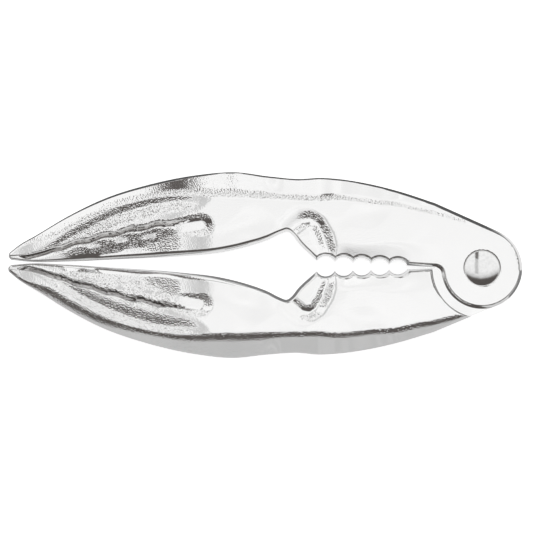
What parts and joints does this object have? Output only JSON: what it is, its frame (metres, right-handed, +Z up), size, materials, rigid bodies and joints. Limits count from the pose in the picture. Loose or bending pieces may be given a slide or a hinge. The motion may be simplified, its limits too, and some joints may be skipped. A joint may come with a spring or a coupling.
{
  "type": "nutcracker",
  "caption": "Claw-shaped lever nutcracker: two mirrored cast chrome levers with facing scalloped jaws, joined by a half-lap riveted pivot.",
  "frame": {"origin": "on the pivot axis, in the plane that the closed nutcracker lies on, at the centre of the rivet's flat tail", "axes": "+X away from the claws along the midline, +Y towards the upper lever, +Z up through the thickness; the pivot axis is Z"},
  "size_m": [0.1903, 0.0688, 0.0127],
  "materials": {
    "cast_chrome": "bright chrome plate over a slightly pebbly zinc casting",
    "polished_steel": "mirror-polished rivet end"
  },
  "bodies": {
    "lower": {"lower_lever": "cast_chrome", "pivot_rivet": "polished_steel"},
    "upper": {"upper_lever": "cast_chrome"}
  },
  "joints": [
    {"name": "lever_pivot", "type": "hinge", "parent": "lower", "child": "upper", "pos_m": [0, 0, 0.00635], "axis": [0, 0, -1], "range_deg": [0, 200]}
  ]
}
